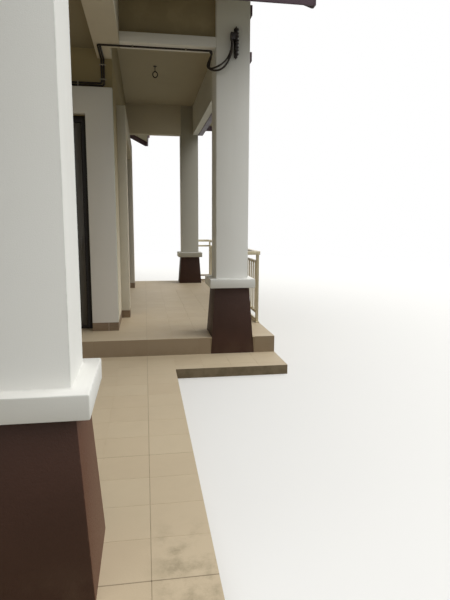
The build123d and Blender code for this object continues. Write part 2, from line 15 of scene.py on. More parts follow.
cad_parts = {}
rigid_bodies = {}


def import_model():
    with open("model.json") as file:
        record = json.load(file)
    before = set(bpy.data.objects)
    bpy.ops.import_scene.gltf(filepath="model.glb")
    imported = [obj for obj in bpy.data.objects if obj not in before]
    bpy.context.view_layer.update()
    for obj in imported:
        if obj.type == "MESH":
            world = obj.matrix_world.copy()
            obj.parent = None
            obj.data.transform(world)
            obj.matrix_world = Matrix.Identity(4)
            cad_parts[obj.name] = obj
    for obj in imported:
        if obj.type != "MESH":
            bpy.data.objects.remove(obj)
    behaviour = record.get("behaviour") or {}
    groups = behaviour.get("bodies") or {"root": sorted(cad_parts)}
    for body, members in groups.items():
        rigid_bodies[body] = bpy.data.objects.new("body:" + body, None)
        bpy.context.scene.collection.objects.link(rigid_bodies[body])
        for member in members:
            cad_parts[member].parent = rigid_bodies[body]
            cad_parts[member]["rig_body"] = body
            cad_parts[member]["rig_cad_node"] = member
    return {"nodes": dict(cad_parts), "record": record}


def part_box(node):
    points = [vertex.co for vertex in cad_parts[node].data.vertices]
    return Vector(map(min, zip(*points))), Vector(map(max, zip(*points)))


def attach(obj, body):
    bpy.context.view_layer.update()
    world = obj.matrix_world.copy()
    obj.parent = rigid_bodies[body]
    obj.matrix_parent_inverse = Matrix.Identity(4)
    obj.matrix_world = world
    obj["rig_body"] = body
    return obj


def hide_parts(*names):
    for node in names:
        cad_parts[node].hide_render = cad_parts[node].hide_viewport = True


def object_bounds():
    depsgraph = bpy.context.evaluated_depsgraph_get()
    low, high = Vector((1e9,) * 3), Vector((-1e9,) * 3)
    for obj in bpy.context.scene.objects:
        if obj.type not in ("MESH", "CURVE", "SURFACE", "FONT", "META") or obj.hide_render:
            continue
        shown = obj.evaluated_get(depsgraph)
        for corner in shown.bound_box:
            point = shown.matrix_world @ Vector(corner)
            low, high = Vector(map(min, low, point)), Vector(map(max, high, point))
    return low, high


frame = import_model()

frame_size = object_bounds()
nodes = frame["nodes"]
print("frame", [[round(value, 3) for value in corner] for corner in frame_size])

# %% [markdown]
# ## Camera
# The photograph was taken with a phone held upright in the side yard, at eye height above the porch slab and
# turned a little to the right. The straight lines of the house give the lens and the place. The camera is
# made first, because everything that follows is judged through it.

# %% Camera at the photographer's place
eye_place = (2.547, -7.975, 1.600)
eye_turn_right = radians(9.061)
eye_down = radians(8.638)
eye_roll = radians(0.234)
focal_pixels = 500.07
photo_height = 600
sensor = 36

bpy.ops.object.camera_add(location=eye_place)
camera = bpy.context.object
camera.name = "eye"
camera.rotation_mode = "XYZ"
camera.rotation_euler = (pi / 2 - eye_down, 0, -eye_turn_right)
camera.rotation_euler.rotate_axis("Z", eye_roll)
camera.data.sensor_fit = "VERTICAL"
camera.data.sensor_height = sensor
camera.data.lens = focal_pixels / photo_height * sensor
camera.data.clip_end = 200
bpy.context.scene.camera = camera
print("lens", round(camera.data.lens, 2), "mm")

# %% [markdown]
# ## A small tool for finishes
# Every finish here is a pattern worked out from the place on the object, such as a grid of joints or a
# cloud of dust. `Value` wraps one socket, so that such a pattern can be written as arithmetic. `Graph` adds
# nodes and hands back their outputs as values. `Finish` is one material: a colour and the coats laid over
# it. Colours are given as screen numbers from 0 to 255, the way a paint chip is read, and turned into light
# values once.

# %% Values that vary over a surface
def maths(operation, swapped=False):
    """A method that adds one arithmetic node; the other value is 0 where none is given."""
    def method(value, other=0.0):
        first, second = (other, value) if swapped else (value, other)
        return value.graph.node("ShaderNodeMath", {0: first, 1: second}, operation=operation)
    return method


class Value:
    """A number, colour or vector that varies over a surface."""

    def __init__(self, graph, socket):
        self.graph = graph
        self.socket = socket

    __add__ = __radd__ = maths("ADD")
    __sub__ = maths("SUBTRACT")
    __rsub__ = __neg__ = maths("SUBTRACT", swapped=True)
    __mul__ = __rmul__ = maths("MULTIPLY")
    __truediv__ = maths("DIVIDE")
    __abs__ = maths("ABSOLUTE")
    at_least = maths("MAXIMUM")
    at_most = maths("MINIMUM")
    above = maths("GREATER_THAN")
    whole = maths("FLOOR")

    def ramp(self, low, high):
        """0 below low, 1 above high, smooth between."""
        return self.graph.node("ShaderNodeMapRange", {0: self, 1: low, 2: high, 3: 0.0, 4: 1.0},
                               interpolation_type="SMOOTHSTEP")


# %% Nodes of a material or of the sky
class Graph:
    def __init__(self, tree):
        self.tree = tree

    def node(self, kind, sockets=None, output=0, **settings):
        """Adds a node, and feeds its sockets with values or constants."""
        new = self.tree.nodes.new(kind)
        for name, value in settings.items():
            setattr(new, name, value)
        for name, value in (sockets or {}).items():
            self.feed(new.inputs[name], value)
        return Value(self, new.outputs[output] if new.outputs else None)

    def feed(self, socket, value):
        if isinstance(value, Value):
            self.tree.links.new(value.socket, socket)
        else:
            socket.default_value = value

    def parts(self, vector):
        split = self.node("ShaderNodeSeparateXYZ", {0: vector})
        return [Value(self, output) for output in split.socket.node.outputs]

    def ray(self, kind):
        """1 where light arrives by this kind of ray."""
        return self.node("ShaderNodeLightPath", output="Is %s Ray" % kind)


# %% One finish
def paint(red, green, blue):
    """Screen numbers from 0 to 255 as light values."""
    return tuple((part / 255) ** 2.2 for part in (red, green, blue)) + (1.0,)


def toned(colour, share):
    """Screen numbers made lighter or darker."""
    return tuple(min(part * share, 255) for part in colour)


class Finish(Graph):
    """A material with one Principled shader, and patterns on the object's own coordinates."""

    def __init__(self, name, slot, sheen=0.5, **constants):
        self.material = bpy.data.materials.new(name)
        self.material.use_nodes = True
        super().__init__(self.material.node_tree)
        self.slot = slot
        self.shader = self.tree.nodes["Principled BSDF"]
        for socket, value in dict(constants, Specular_IOR_Level=sheen).items():
            self.shader.inputs[socket.replace("_", " ")].default_value = value
        self.place = self.node("ShaderNodeTexCoord", output="Object")
        self.x, self.y, self.z = self.parts(self.place)

    def lay(self, colour, coats, roughness=None, relief=None):
        """Lays coats over a colour, each a share and a colour; relief is a height and its depth."""
        for share, coat in coats:
            colour = self.mix(share, colour, coat)
        bump = relief and self.bump(*relief)
        for socket, value in (("Base Color", colour), ("Roughness", roughness), ("Normal", bump)):
            if value:
                self.feed(self.shader.inputs[socket], value)

    def vector(self, x, y, z):
        return self.node("ShaderNodeCombineXYZ", {0: x, 1: y, 2: z})

    def cloud(self, scale, detail=4.0, roughness=0.55, place=None):
        """Soft noise from 0 to 1; scale is blotches per metre."""
        return self.node("ShaderNodeTexNoise",
                         {"Vector": place or self.place, "Scale": scale, "Detail": detail,
                          "Roughness": roughness})

    def chance(self, x, y, z):
        """A fixed random number for each whole-number place."""
        return self.node("ShaderNodeTexWhiteNoise", {"Vector": self.vector(x, y, z)}, noise_dimensions="3D")

    def mix(self, share, first, second):
        """One colour laid over another; each is a value or three screen numbers."""
        first, second = (paint(*colour) if isinstance(colour, tuple) else colour
                         for colour in (first, second))
        return self.node("ShaderNodeMix", {0: share, 6: first, 7: second}, 2, data_type="RGBA")

    def bump(self, height, depth, under=None):
        """Relief; depth is the height in metres of a rise from 0 to 1."""
        sockets = {"Height": height, "Distance": depth, "Strength": 1.0}
        if under:
            sockets["Normal"] = under
        return self.node("ShaderNodeBump", sockets)

    def facing(self):
        """How far a face looks along x, y and z."""
        return self.parts(self.node("ShaderNodeNewGeometry", output="True Normal"))

    def edges(self):
        """1 on rounded edges, whose faces look along no axis; 0 on flat faces."""
        x, y, z = self.facing()
        flat = abs(x).at_least(abs(y)).at_least(abs(z))
        return (1.0 - flat).ramp(0.03, 0.12)


# %% [markdown]
# ## Floor and light
# A studio floor, pale and plain, carries the house and its shadow. Near the house it is ordinary matt paint.
# Further out it turns into plain white, so that no horizon cuts the picture. The light is that of a bright
# overcast day: a sky that grows brighter from the horizon up, and one broad soft lamp from the open side on
# the right, where the garden is.

# %% Studio floor
floor_half_width = 90
fade_from, fade_to = 9.0, 20.0

bpy.ops.mesh.primitive_grid_add(x_subdivisions=8, y_subdivisions=8, size=2 * floor_half_width)
studio_floor = bpy.context.object
studio_floor.name = "studio_floor"

studio = Finish("studio_floor", "floor_tile", Roughness=0.95, sheen=0.1)
camera_ray = studio.ray("Camera")
studio.lay((128, 129, 122), [(camera_ray, (238, 238, 236))])
plain_white = studio.node("ShaderNodeEmission", {"Color": (1, 1, 1, 1), "Strength": 1.0})
away = studio.node("ShaderNodeVectorMath", {0: studio.place}, "Value", operation="LENGTH")
fade = away.ramp(fade_from, fade_to) * camera_ray.at_least(studio.ray("Glossy"))
blend = studio.node("ShaderNodeMixShader",
                    {0: fade, 1: Value(studio, studio.shader.outputs[0]), 2: plain_white})
studio.feed(studio.tree.nodes["Material Output"].inputs["Surface"], blend)
studio_floor.data.materials.append(studio.material)
print("studio floor", 2 * floor_half_width, "m wide")

# %% Sky and lamp
sky_strength = 1.1
full_sky_height = 0.75
lamp_strength = 1.5
lamp_softness = radians(60)
lamp_from = Vector((0.80, -0.05, 0.80))
lamp_distance = 12

world = bpy.context.scene.world or bpy.data.worlds.new("sky")
bpy.context.scene.world = world
world.use_nodes = True
world.node_tree.nodes.clear()
sky = Graph(world.node_tree)
height = sky.parts(sky.node("ShaderNodeTexCoord", output="Generated"))[2]
light = sky.node("ShaderNodeBackground",
                 {"Color": (1, 0.99, 0.97, 1), "Strength": height.ramp(0.0, full_sky_height) * sky_strength})
backdrop = sky.node("ShaderNodeBackground", {"Color": (1, 1, 1, 1)})
seen = sky.ray("Camera").at_least(sky.ray("Glossy")).at_least(sky.ray("Transmission"))
sky.node("ShaderNodeOutputWorld",
         {0: sky.node("ShaderNodeMixShader", {0: seen, 1: light, 2: backdrop})})

bpy.ops.object.light_add(type="SUN", location=lamp_from * lamp_distance)
lamp = bpy.context.object
lamp.name = "garden_light"
lamp.rotation_euler = lamp_from.to_track_quat("Z", "Y").to_euler()
lamp.data.energy = lamp_strength
lamp.data.angle = lamp_softness
bpy.context.scene.view_settings.view_transform = "Standard"

# %% [markdown]
# ## Finishes
# ### Plaster and paint
# The walls and columns are cement render, floated smooth by hand and rolled with matt paint. So the surface
# waves a little over half a metre and has a fine grain from the roller. Rain washes faint streaks down it,
# and corners are knocked, so they lose a little paint. Under the ceilings the walls carry painted shade: their
# cream grows deeper towards the top. The beams under the roofs and the glazing's surround have a warmer,
# darker white as painted shade. The rear shaft of the veranda has painted shade on its side that looks to the
# street, the doorway's surround on its side that looks to the garden, and the glazing's surround has a lighter
# white, as painted light, on its side that looks to the street.

# %% Painted plaster
# Heights and depth of the painted shade under the ceilings.
deepens_from, deepest_at = 0.4, 3.3
covered_up_to = 3.67

white = (233, 233, 228), (226, 224, 216)
cream = (216, 208, 187), (206, 197, 175)
# Painted shade: a warmer, darker white for the beams and the glazing's surround under the roofs.
warm_white_painted_shade = (206, 197, 178), (196, 186, 165)
soft_white = (233, 231, 226), (224, 222, 215)


def plaster(name, paints, slot="white_plaster", shade_under_ceilings=None, shade_starts_at_y=-9.0, street_side_painted_light=None,
            garden_side_painted_light=None):
    """Painted render; its painted shade deepens upwards below the ceilings, which start at a given y, and faces
    that look to the street or the garden can get their own colour as painted light.
    """
    colour, shade = paints
    finish = Finish(name, slot, Roughness=0.8, sheen=0.2)
    down = finish.vector(finish.x * 5.0, finish.y * 5.0, finish.z * 0.6)
    washed = finish.cloud(1.0, 5.0, 0.6, down).ramp(0.5, 0.8)
    patchy = finish.cloud(0.9, 3.0).ramp(0.35, 0.75)
    worn = finish.edges() * finish.cloud(14.0, 3.0).ramp(0.5, 0.62)
    coats = [(patchy * 0.35, shade)]
    # Painted shade: below the ceilings the colour deepens towards the top, where the roofs keep the light out.
    if shade_under_ceilings:
        covered = (covered_up_to - finish.y).ramp(0.0, 0.08) * (finish.y - shade_starts_at_y).ramp(0.0, 0.3)
        coats.append((finish.z.ramp(deepens_from, deepest_at) * covered, shade_under_ceilings))
    to_garden, to_rear, _ = finish.facing()
    # Painted light: faces that look to the street or the garden get their own colour for the light that falls on
    # them.
    if street_side_painted_light:
        coats.append(((-to_rear).ramp(0.6, 0.95), street_side_painted_light))
    if garden_side_painted_light:
        coats.append((to_garden.ramp(0.6, 0.95), garden_side_painted_light))
    coats += [(washed * 0.09, toned(shade, 0.8)), (worn * 0.2, toned(shade, 0.72))]
    waves = finish.bump(finish.cloud(1.8, 2.0), 0.004)
    finish.lay(colour, coats, 0.72 + 0.16 * finish.cloud(5.0), (finish.cloud(260.0, 2.0, 0.7), 0.0006, waves))
    return finish


white_plaster = plaster("white_paint_on_plaster", white)
cream_plaster = plaster("cream_paint_on_plaster", cream, "cream_plaster")
# Painted shade on the cream walls under the ceilings.
cream_plaster_with_painted_shade = plaster("cream_paint_with_painted_shade_under_ceilings", cream, "cream_plaster", shade_under_ceilings=(160, 145, 110))
# Painted shade on the side beam, deeper still below the ceilings, and on the rear beam.
side_beam_plaster_painted_shade = plaster("warm_white_paint_with_painted_shade_on_side_beam", warm_white_painted_shade,
                            shade_under_ceilings=(150, 138, 110), shade_starts_at_y=-1.8)
beam_plaster_painted_shade = plaster("warm_white_paint_with_painted_shade_on_beams", warm_white_painted_shade)
soft_plaster = plaster("soft_white_paint_on_beam", soft_white)
# Painted shade on the doorway surround's garden side and the rear shaft's street side; painted light, a lighter
# white, on the glazing surround's street side.
door_plaster_painted_shade = plaster("soft_white_paint_with_painted_shade_round_door", soft_white, garden_side_painted_light=(193, 195, 184))
glazing_plaster_painted_light = plaster("warm_white_paint_with_painted_light_beside_glazing", warm_white_painted_shade, street_side_painted_light=(212, 208, 196))
rear_shaft_plaster_painted_shade = plaster("white_paint_with_painted_shade_under_veranda_roof", white, street_side_painted_light=(187, 184, 172))
print(len([each for each in bpy.data.materials if "_paint_" in each.name]), "paints on plaster")

# %% Brown textured coat on the column bases, dusty at the foot, with painted light on the side that faces the garden
dusty_up_to = 0.34

brown_base = Finish("brown_textured_coat", "brown_base", Roughness=0.75, sheen=0.3)
grain = brown_base.cloud(95.0, 3.0, 0.65)
patchy = brown_base.cloud(1.6, 4.0).ramp(0.35, 0.7)
dusty = (dusty_up_to - brown_base.z).ramp(0.0, 0.3) * brown_base.cloud(7.0, 5.0).ramp(0.42, 0.66)
# Painted light: faces that look to the garden are drawn lighter and redder, as if lit from there.
lit_garden_face = brown_base.facing()[0].ramp(0.6, 0.95)
chipped = brown_base.edges() * brown_base.cloud(20.0, 3.0).ramp(0.5, 0.6)
brown_base.lay((60, 40, 31), [(patchy, (69, 47, 38)), (dusty * 0.1, (140, 122, 100)),
                              (lit_garden_face * 0.55, (110, 74, 55)), (chipped * 0.15, (128, 102, 86))],
               0.42 + 0.2 * grain, (grain, 0.0022))

# %% [markdown]
# ### Floor tiles, roof tiles and boards
# The floor is laid with matt beige tiles of about 296 mm. Each tile has its own tone, so a random number is
# drawn for each place in the grid. Three of the porch's joints have filled with dirt, and its corner near the
# garden is splashed. The roof tiles have a red glaze that differs from tile to tile and is weathered in
# patches. Boards along the eaves are painted purple-brown.

# %% Lines that the floor tiles follow
tile_module = 0.2963
tile_line_x = 2.547
tile_line_y = -6.032
porch_top = 0.100
floor_low, floor_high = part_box("raised_floor")
floor_top = floor_high.z


def from_dirty_joints(finish):
    """How far a place lies from each of the three joints that have filled with dirt."""
    return (abs(finish.x - tile_line_x), abs(finish.y - tile_line_y),
            abs(finish.y - (tile_line_y + 4 * tile_module)))


def tile_number(value, line):
    return ((value - line) / tile_module).whole()


# %% Floor tile
splash_x, splash_y = 2.5, -5.55
floor_rise = 0.15
below_step = 0.2

floor_tile = Finish("beige_floor_tile", "floor_tile", Roughness=0.5, sheen=0.4)
own_tone = floor_tile.chance(tile_number(floor_tile.x, tile_line_x), tile_number(floor_tile.y, tile_line_y),
                             (floor_tile.z / floor_rise).whole())
speckle = floor_tile.cloud(210.0, 2.0, 0.7).ramp(0.55, 0.75)
near_edge = (floor_tile.x - splash_x).ramp(0.0, 0.15) * (splash_y - floor_tile.y).ramp(0.0, 0.3)
splashed = floor_tile.cloud(5.5, 6.0, 0.65).ramp(0.4, 0.68) * (0.06 + 0.94 * near_edge)
grime = sum((reach - distance).ramp(0.0, reach) * share for distance, (reach, share) in
            zip(from_dirty_joints(floor_tile), ((0.004, 0.25), (0.006, 0.5), (0.004, 0.3))))
in_porch = (below_step - floor_tile.z).above(0.0)
floor_tile.lay((195, 178, 150), [(own_tone, (199, 183, 155)), (speckle * 0.15, (172, 152, 122)),
                                 (splashed * 0.6, (118, 108, 84)),
                                 (grime.at_most(1.0) * in_porch, (96, 84, 66))],
               0.42 + 0.3 * floor_tile.cloud(6.0, 5.0), (floor_tile.cloud(120.0, 2.0), 0.0004))

# %% Its bed: grout between the tiles, darker behind the riser, and with painted shade on the slab's side
wet_reach = 0.008

tile_bed = Finish("grout_and_slab_edge", "floor_tile", Roughness=0.9, sheen=0.2)
grout_tone = tile_bed.cloud(9.0, 5.0).ramp(0.3, 0.7)
wet = sum((wet_reach - distance).above(0.0) * share for distance, share in
          zip(from_dirty_joints(tile_bed), (0.5, 0.8, 0.4)))
on_top = tile_bed.z.above(porch_top - 0.01)
behind_riser = tile_bed.z.above(porch_top + 0.005) * (floor_top - 0.006 - tile_bed.z).above(0.0)
# Painted shade: the slab's side is drawn darker for the shade it stands in.
slab_side = (porch_top - 0.001 - tile_bed.z).above(0.0)
slab_side_painted_shade = tile_bed.mix(grout_tone, (126, 112, 90), (146, 131, 107))
tile_bed.lay((195, 179, 151), [(grout_tone, (202, 186, 159)), (wet.at_most(1.0) * on_top, (96, 83, 66)),
                               (behind_riser, (140, 123, 100)), (slab_side, slab_side_painted_shade)],
             relief=(tile_bed.cloud(160.0, 3.0), 0.001))

# %% Skirting, and the riser tile, drawn darker than the floor as painted shade, with mud splashed up at its foot
muddy_up_to = 0.26

skirting_tile = Finish("brown_skirting_tile", "floor_tile", Roughness=0.45, sheen=0.45)
lengthwise = skirting_tile.vector(skirting_tile.x * 10.0, skirting_tile.y * 10.0, skirting_tile.z * 60.0)
streaky = skirting_tile.cloud(1.0, 4.0, 0.6, lengthwise).ramp(0.3, 0.7)
skirting_tile.lay((126, 107, 86), [(streaky, (136, 117, 95))], 0.38 + 0.2 * skirting_tile.cloud(30.0))

# Painted shade: the riser tile is drawn darker than the floor tile for the shade of the porch roof; the mud at
# its foot is dirt.
riser_tile = Finish("riser_tile_with_painted_shade_and_mud", "floor_tile", Roughness=0.55, sheen=0.35)
muddy = (muddy_up_to - riser_tile.z).ramp(0.0, 0.16) * riser_tile.cloud(3.0, 5.0, 0.6).ramp(0.3, 0.75)
riser_tone = riser_tile.chance(tile_number(riser_tile.x, tile_line_x), 0.0, 0.0)
riser_tile.lay((148, 131, 108), [(riser_tone, (153, 137, 114)), (muddy * 0.4, (112, 96, 74))],
               0.5 + 0.3 * muddy, (riser_tile.cloud(120.0, 2.0), 0.0004))

# %% Roof tile, its bed in the shade, and ridge mortar
ridge_x, ridge_y = -0.7915, 0.643
party_line, street_tip = -4.27, -6.725
main_cover, cross_cover, row_depth, roof_reach = 0.305, 0.2989, 0.3163, 3.507

roof_tile = Finish("red_roof_tile", "roof_tile", Roughness=0.45)
from_cross_ridge, from_main_ridge = abs(roof_tile.x - ridge_x), abs(roof_tile.y - ridge_y)
on_main = from_cross_ridge.above(from_main_ridge)
along_main = (roof_tile.x - party_line) / main_cover
along_cross = (roof_tile.y - street_tip) / cross_cover
across = on_main * along_main + (1.0 - on_main) * along_cross
down = (roof_reach - from_cross_ridge.at_most(from_main_ridge)) / row_depth
slope_side = on_main * 2.0 + roof_tile.y.above(ridge_y) + roof_tile.x.above(ridge_x) * 4.0
own_red = roof_tile.chance(across.whole(), down.whole(), slope_side.whole())
weathered = roof_tile.cloud(3.0, 6.0, 0.65).ramp(0.45, 0.8)
roof_tile.lay((144, 56, 50), [(own_red, (164, 74, 66)), (weathered * 0.4, (122, 72, 66))],
              0.36 + 0.3 * roof_tile.cloud(12.0, 4.0), (roof_tile.cloud(90.0, 3.0), 0.0012))

roof_bed = Finish("roof_bed_in_shade", "roof_tile", Roughness=0.9)
roof_bed.lay((92, 40, 38), [(roof_bed.cloud(8.0, 4.0), (118, 52, 50))])

ridge_mortar = Finish("ridge_mortar", "roof_tile", Roughness=0.9)
ridge_mortar.lay((128, 74, 68), [(ridge_mortar.cloud(14.0, 5.0), (150, 104, 94))],
                 relief=(ridge_mortar.cloud(60.0, 4.0), 0.003))

# %% Boards, ceiling sheets and soffit
sheet_width = 1.2


def painted_board(name, slot, colour, other, roughness, grain_height):
    finish = Finish(name, slot, sheen=0.45)
    along = finish.vector(finish.x * 3.0, finish.y * 3.0, finish.z * 45.0)
    grain = finish.cloud(1.0, 5.0, 0.6, along)
    chalky = finish.cloud(4.0, 5.0).ramp(0.45, 0.75)
    worn = finish.edges() * finish.cloud(18.0, 3.0).ramp(0.5, 0.62)
    finish.lay(colour, [(grain * 0.5, other), (chalky * 0.3, toned(other, 1.2)),
                        (worn * 0.6, toned(other, 1.7))],
               roughness + 0.2 * finish.cloud(9.0), (grain, grain_height))
    return finish


def ceiling_sheet(name, colour, damp_colour):
    finish = Finish(name, "ceiling_board", Roughness=0.85, sheen=0.2)
    damp = finish.cloud(0.8, 5.0, 0.6).ramp(0.45, 0.8)
    finish.lay(colour, [(damp * 0.5, damp_colour)], relief=(finish.cloud(1.4, 3.0), 0.004))
    return finish


brown_board = painted_board("purple_brown_board", "brown_board", (88, 68, 78), (96, 79, 88), 0.4, 0.001)
# Painted shade: the recessed board above the veranda's front beam is drawn dark tan for the shade of the eave in
# front of it.
dark_infill = painted_board("recess_board_painted_shade", "dark_infill", (150, 136, 106), (161, 147, 117), 0.7, 0.0008)
# Painted shade: the ceiling sheets' cream is drawn a shade darker and tanner for the shade under the roofs.
ceiling_board = ceiling_sheet("ceiling_sheet", (184, 175, 153), (165, 155, 132))
# Painted shade: the porch's ceiling sheet is drawn darker still, for the deep shade under the porch roof.
porch_board_painted_shade = ceiling_sheet("porch_ceiling_sheet_painted_shade", (146, 136, 112), (128, 118, 94))

soffit_board = Finish("soffit_board", "ceiling_board", Roughness=0.85, sheen=0.25)
sheets = soffit_board.x / sheet_width
sheet_joint = abs((sheets - sheets.whole()) - 0.5).ramp(0.494, 0.497)
mildew = soffit_board.cloud(1.1, 5.0).ramp(0.4, 0.8)
soffit_board.lay((196, 188, 166), [(mildew, (180, 170, 146)), (sheet_joint * 0.6, (120, 108, 86))],
                 relief=(soffit_board.cloud(1.4, 3.0), 0.004))

# %% [markdown]
# ### Metal, glass and rubber
# The sliding door and the windows are dark powder-coated frames with tinted glass; the door's outer frame is
# drawn near black as painted shade. The railing is welded steel in cream gloss with rust at its joints. Cables
# are black rubber, dusty on top.

# %% Frames and glass
aluminium = Finish("dark_powder_coat", "black_aluminium", Metallic=0.35, sheen=0.5)
rubbed = aluminium.edges() * aluminium.cloud(22.0, 3.0).ramp(0.48, 0.62)
dust_on = aluminium.cloud(7.0, 5.0).ramp(0.45, 0.8)
aluminium.lay((76, 72, 65), [(dust_on * 0.3, (98, 93, 84)), (rubbed * 0.5, (120, 116, 108))],
              0.36 + 0.2 * dust_on, (aluminium.cloud(420.0, 2.0), 0.0003))

# Painted shade: the door's outer frame is drawn nearly black for the shade in the doorway's recess.
outer_frame_painted_shade = Finish("brown_black_powder_coat_painted_shade", "black_aluminium", Metallic=0.2, sheen=0.4)
frame_dust = outer_frame_painted_shade.cloud(7.0, 5.0).ramp(0.45, 0.8)
outer_frame_painted_shade.lay((28, 21, 15), [(frame_dust * 0.3, (46, 38, 29))], 0.42 + 0.15 * outer_frame_painted_shade.cloud(9.0))

tinted_glass = Finish("tinted_glass", "dark_glass", IOR=1.5, sheen=0.6,
                      Transmission_Weight=0.0)
smeared = tinted_glass.cloud(2.6, 5.0, 0.6).ramp(0.4, 0.8)
tinted_glass.lay((36, 35, 32), [(smeared * 0.6, (58, 56, 51))], 0.04 + 0.16 * smeared)
tinted_glass.feed(tinted_glass.shader.inputs["Alpha"], 0.9 + 0.08 * smeared)

# %% Railing, cable, bracket and clips
railing_paint = Finish("cream_gloss_on_steel", "railing_paint", sheen=0.5)
rust = railing_paint.cloud(26.0, 6.0, 0.7).ramp(0.6, 0.7) * railing_paint.cloud(2.2, 2.0).ramp(0.45, 0.65)
railing_paint.lay((214, 201, 168), [(railing_paint.cloud(5.0, 4.0), (222, 211, 182)), (rust, (122, 74, 44))],
                  0.32 + 0.45 * rust, (railing_paint.cloud(70.0, 3.0), 0.0005))

rubber = Finish("black_rubber", "black_plastic", sheen=0.4)
top_dust = rubber.cloud(16.0, 5.0).ramp(0.45, 0.8)
rubber.lay((36, 28, 21), [(top_dust * 0.35, (86, 73, 58))], 0.5 + 0.25 * top_dust,
           (rubber.cloud(240.0, 2.0), 0.0004))

dark_steel = Finish("dark_painted_steel", "dark_steel", Metallic=0.3, sheen=0.5)
flaked = dark_steel.cloud(34.0, 5.0, 0.65).ramp(0.55, 0.7)
dark_steel.lay((48, 44, 42), [(flaked * 0.7, (104, 74, 54))], 0.45 + 0.3 * flaked)

pale_clip = Finish("pale_cable_clip", "railing_paint", sheen=0.4)
pale_clip.lay((150, 143, 128), [(pale_clip.cloud(60.0, 3.0), (172, 166, 150))],
              0.5 + 0.2 * pale_clip.cloud(40.0))
print(len(bpy.data.materials), "materials")

# %% [markdown]
# ## Finishes on the frame's own pieces
# Each piece of the frame already carries the slot that the record gives it. The finish goes into that slot.

# %% Give every piece its finish
finish_of_slot = {finish.slot: finish for finish in (
    white_plaster, cream_plaster, brown_base, tile_bed, roof_bed, brown_board, ceiling_board, dark_infill,
    aluminium, tinted_glass, railing_paint, rubber, dark_steel)}
slot_of_node = {part["node"]: part["material_slot"] for part in frame["record"]["subparts"]}
finish_of_node = {"front_wall_left": cream_plaster_with_painted_shade, "front_wall_right": cream_plaster_with_painted_shade,
                  "front_wall_head": cream_plaster_with_painted_shade, "side_wall": cream_plaster_with_painted_shade,
                  "door_frame": outer_frame_painted_shade, "door_surround": door_plaster_painted_shade,
                  "porch_ceiling": porch_board_painted_shade, "porch_side_beam": side_beam_plaster_painted_shade,
                  "veranda_front_beam": soft_plaster, "veranda_rear_beam": beam_plaster_painted_shade,
                  "veranda_surround": glazing_plaster_painted_light, "veranda_column_rear_shaft": rear_shaft_plaster_painted_shade}
finish_of = {name: finish_of_node.get(name, finish_of_slot[slot_of_node[name]]) for name in nodes}
for name, node in nodes.items():
    for place in node.material_slots:
        place.material = finish_of[name].material
print(len(nodes), "pieces of the frame have their finish")

# %% [markdown]
# ## Rounded edges
# A trowelled corner is never knife-sharp, and neither is a welded tube or a planed board. Light catches on
# those roundings, and it is the first thing that tells plaster from paper. The frame's solids keep their
# sharp edges, so a copy of each such piece is merged, cleaned of its triangles, rounded with a bevel and
# shown in the frame piece's place. Walls that lie flush with each other stay sharp, or grooves would show.
# The railing's posts are slimmed on the way, because the house has flat bars there.

# %% Choosing and changing a piece
right, back, higher = Vector((1, 0, 0)), Vector((0, 1, 0)), Vector((0, 0, 1))


def only(piece):
    bpy.ops.object.select_all(action="DESELECT")
    piece.select_set(True)
    bpy.context.view_layer.objects.active = piece


def into_edit(piece):
    """Goes into edit mode with all of a piece selected."""
    only(piece)
    bpy.ops.object.mode_set(mode="EDIT")
    bpy.ops.mesh.select_all(action="SELECT")


def out_of_edit():
    bpy.ops.object.mode_set(mode="OBJECT")


def smooth(degrees):
    bpy.ops.object.shade_smooth_by_angle(angle=radians(degrees))


def dress(piece, finish, body="house"):
    """Gives a new piece its finish and the body that it moves with."""
    piece.data.materials.clear()
    piece.data.materials.append(finish.material)
    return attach(piece, body)


def modified(piece, kind, **settings):
    """Adds a modifier and applies it."""
    only(piece)
    modifier = piece.modifiers.new(kind, kind)
    for setting, value in settings.items():
        setattr(modifier, setting, value)
    bpy.ops.object.modifier_apply(modifier=modifier.name)


def rounded(piece, width, segments=2):
    modified(piece, "BEVEL", width=width, segments=segments, angle_limit=radians(25))
    smooth(40)
    return piece


def picked(piece, wanted, kind="FACE"):
    """Goes into edit mode with just those faces or vertices of a piece selected that a test accepts."""
    into_edit(piece)
    bpy.ops.mesh.select_mode(type=kind)
    bpy.ops.mesh.select_all(action="DESELECT")
    out_of_edit()
    for member in piece.data.polygons if kind == "FACE" else piece.data.vertices:
        member.select = wanted(member)
    bpy.ops.object.mode_set(mode="EDIT")


def shaped(piece, wanted, change, **settings):
    """Moves or scales just those vertices that a test accepts."""
    picked(piece, wanted, "VERT")
    change(**settings)
    out_of_edit()


# %% Copies of the frame's pieces
post_x = 4.016
post_rows = (-1.485, 1.0075, 3.5)
post_reach, post_top = 0.027, 1.201
post_narrowing = 0.64


def copied(name):
    """A clean copy of a frame piece, merged and without its triangles."""
    only(nodes[name])
    bpy.ops.object.duplicate()
    piece = bpy.context.object
    piece.name = name + "_finished"
    piece.parent = None
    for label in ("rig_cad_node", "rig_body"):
        del piece[label]
    into_edit(piece)
    bpy.ops.mesh.customdata_custom_splitnormals_clear()
    bpy.ops.mesh.remove_doubles(threshold=0.0001)
    bpy.ops.mesh.dissolve_limited(angle_limit=radians(0.5))
    out_of_edit()
    return piece


def slimmed(railing):
    """Makes the posts flat bars: narrower along the row than they are deep."""
    for post_y in post_rows:
        shaped(railing, lambda vertex: max(abs(vertex.co.x - post_x), abs(vertex.co.y - post_y)) < post_reach
               and vertex.co.z < post_top, bpy.ops.transform.resize,
               value=(post_narrowing, 1, 1), center_override=(post_x, post_y, 0))


